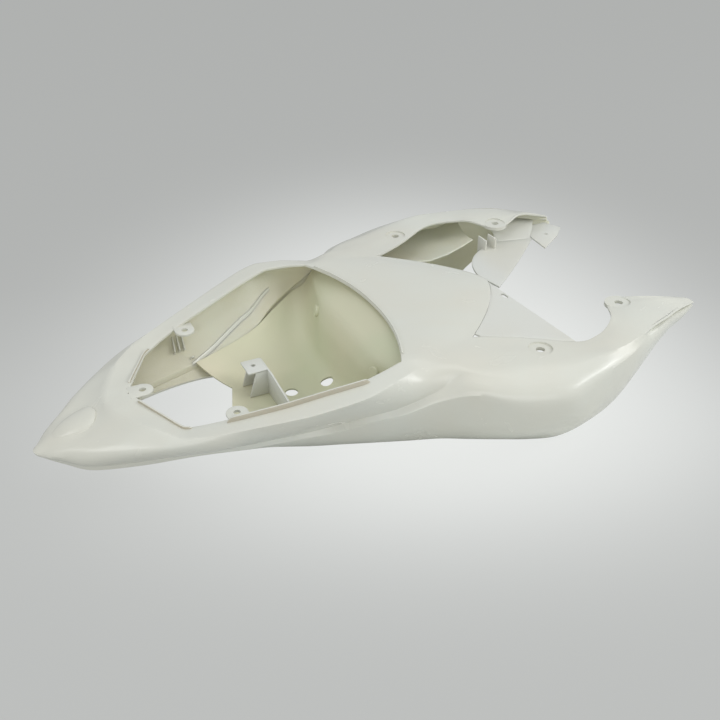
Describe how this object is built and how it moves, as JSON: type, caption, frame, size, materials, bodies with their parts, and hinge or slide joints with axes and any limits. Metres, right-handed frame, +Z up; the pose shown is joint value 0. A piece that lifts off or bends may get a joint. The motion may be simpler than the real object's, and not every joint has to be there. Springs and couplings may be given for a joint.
{
  "type": "motorcycle tail fairing",
  "caption": "Unpainted plastic tail fairing of a sports motorcycle: pointed tail, seat opening with lugs, a tub below it and two arms that sweep forward.",
  "frame": {"origin": "bottom centre of the bounding box, on the plane that the hems of the side skins rest on", "axes": "+X forward, from the tail tip to the arms; +Y to the motorcycle's left; +Z up"},
  "size_m": [0.8, 0.482, 0.1444],
  "materials": {
    "cowl": "unpainted ivory plastic with a soft gloss",
    "tub": "unpainted ivory plastic, slightly duller",
    "inner": "unpainted ivory plastic"
  },
  "bodies": {
    "root": {"tail_cowl": "cowl", "seat_tub": "tub", "tub_bulkhead": "tub", "infill_panel": "cowl", "arm_brace": "inner", "arm_liner": "inner"}
  },
  "joints": []
}
